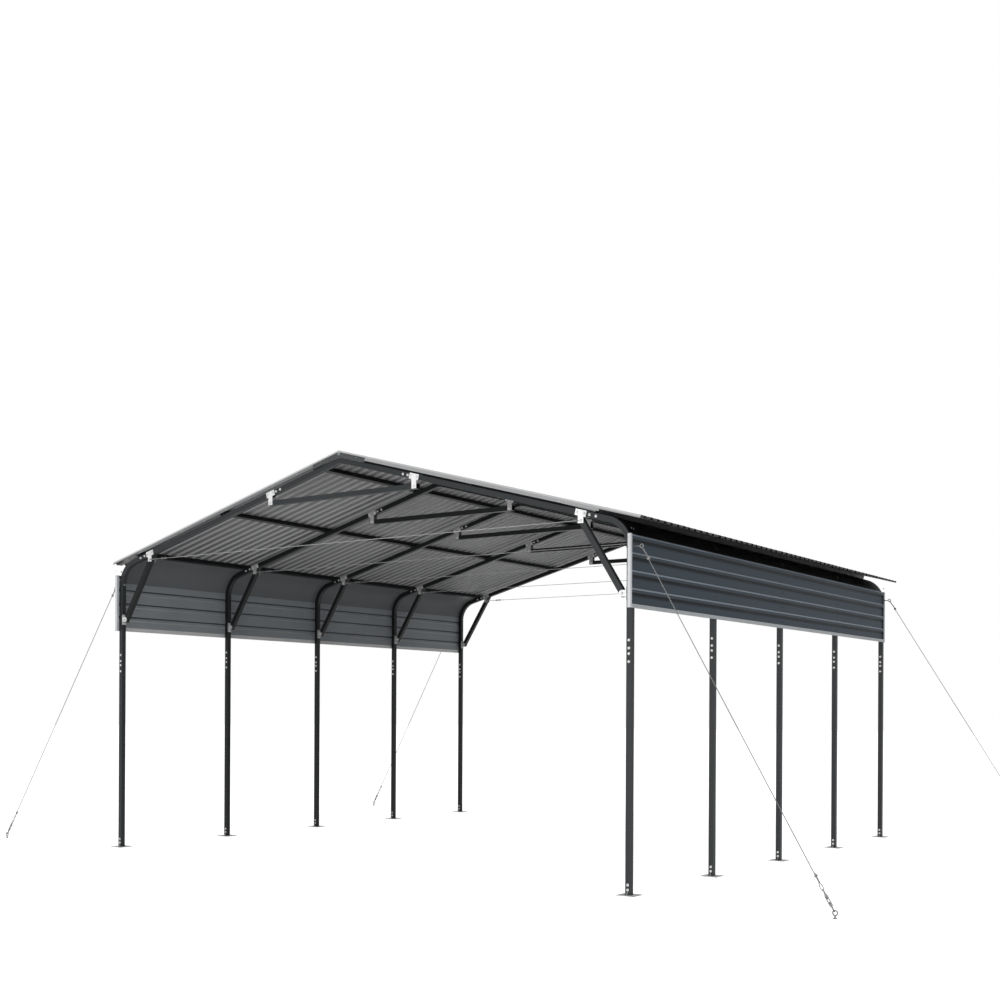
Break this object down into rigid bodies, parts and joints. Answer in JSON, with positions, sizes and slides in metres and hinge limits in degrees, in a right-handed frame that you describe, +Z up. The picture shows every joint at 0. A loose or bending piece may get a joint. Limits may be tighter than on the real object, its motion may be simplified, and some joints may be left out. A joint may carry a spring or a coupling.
{
  "type": "open carport",
  "caption": "Open carport with a pitched ribbed steel roof on square-tube portal frames, side panels under the eaves, cross cables and guy wires to ground anchors.",
  "frame": {"origin": "on the ground at the middle of the plan, half way between the rows of posts and between the first and last frames", "axes": "+X across the width towards the right-hand posts, +Y along the depth from front to back, +Z up"},
  "size_m": [9.247, 6.134, 3.6929],
  "materials": {
    "frame_paint": "charcoal powder coat, satin",
    "sheet_paint": "charcoal coil coating outside, paler grey backing coat inside",
    "panel_paint": "blue-grey coil coating outside, paler grey backing coat inside",
    "plate_paint": "mid grey coil coating",
    "trim_paint": "light grey coil coating",
    "zinc_bracket": "bright zinc plating",
    "zinc_plate": "hot-dip galvanised, spangled",
    "zinc_fitting": "zinc plated",
    "bare_steel": "galvanised",
    "wire_rope": "galvanised strand"
  },
  "bodies": {
    "root": {"collar_ties": "frame_paint", "eye_bolts": "zinc_fitting", "ground_anchors": "zinc_fitting", "guy_turnbuckles": "zinc_fitting", "guy_wires": "wire_rope", "left_base_plates": "zinc_plate", "left_eave_bends": "frame_paint", "left_eave_purlin": "frame_paint", "left_eave_sheet": "panel_paint", "left_gable_trim": "trim_paint", "left_knee_braces": "frame_paint", "left_knee_brackets": "zinc_bracket", "left_knee_feet": "zinc_bracket", "left_middle_purlin": "frame_paint", "left_panel_trim": "trim_paint", "left_posts": "frame_paint", "left_rafters": "frame_paint", "left_ridge_purlin": "frame_paint", "left_roof_over_sheets": "sheet_paint", "left_roof_under_sheets": "sheet_paint", "left_side_panel": "panel_paint", "post_sleeves": "bare_steel", "rafter_sleeves": "bare_steel", "ridge_bends": "frame_paint", "ridge_cap": "sheet_paint", "ridge_end_plates": "plate_paint", "right_base_plates": "zinc_plate", "right_eave_bends": "frame_paint", "right_eave_purlin": "frame_paint", "right_eave_sheet": "panel_paint", "right_gable_trim": "trim_paint", "right_knee_braces": "frame_paint", "right_knee_brackets": "zinc_bracket", "right_knee_feet": "zinc_bracket", "right_middle_purlin": "frame_paint", "right_panel_trim": "trim_paint", "right_posts": "frame_paint", "right_rafters": "frame_paint", "right_ridge_purlin": "frame_paint", "right_roof_over_sheets": "sheet_paint", "right_roof_under_sheets": "sheet_paint", "right_side_panel": "panel_paint", "tie_brackets": "zinc_bracket", "tie_cables": "wire_rope", "tie_turnbuckles": "zinc_fitting"}
  },
  "joints": []
}
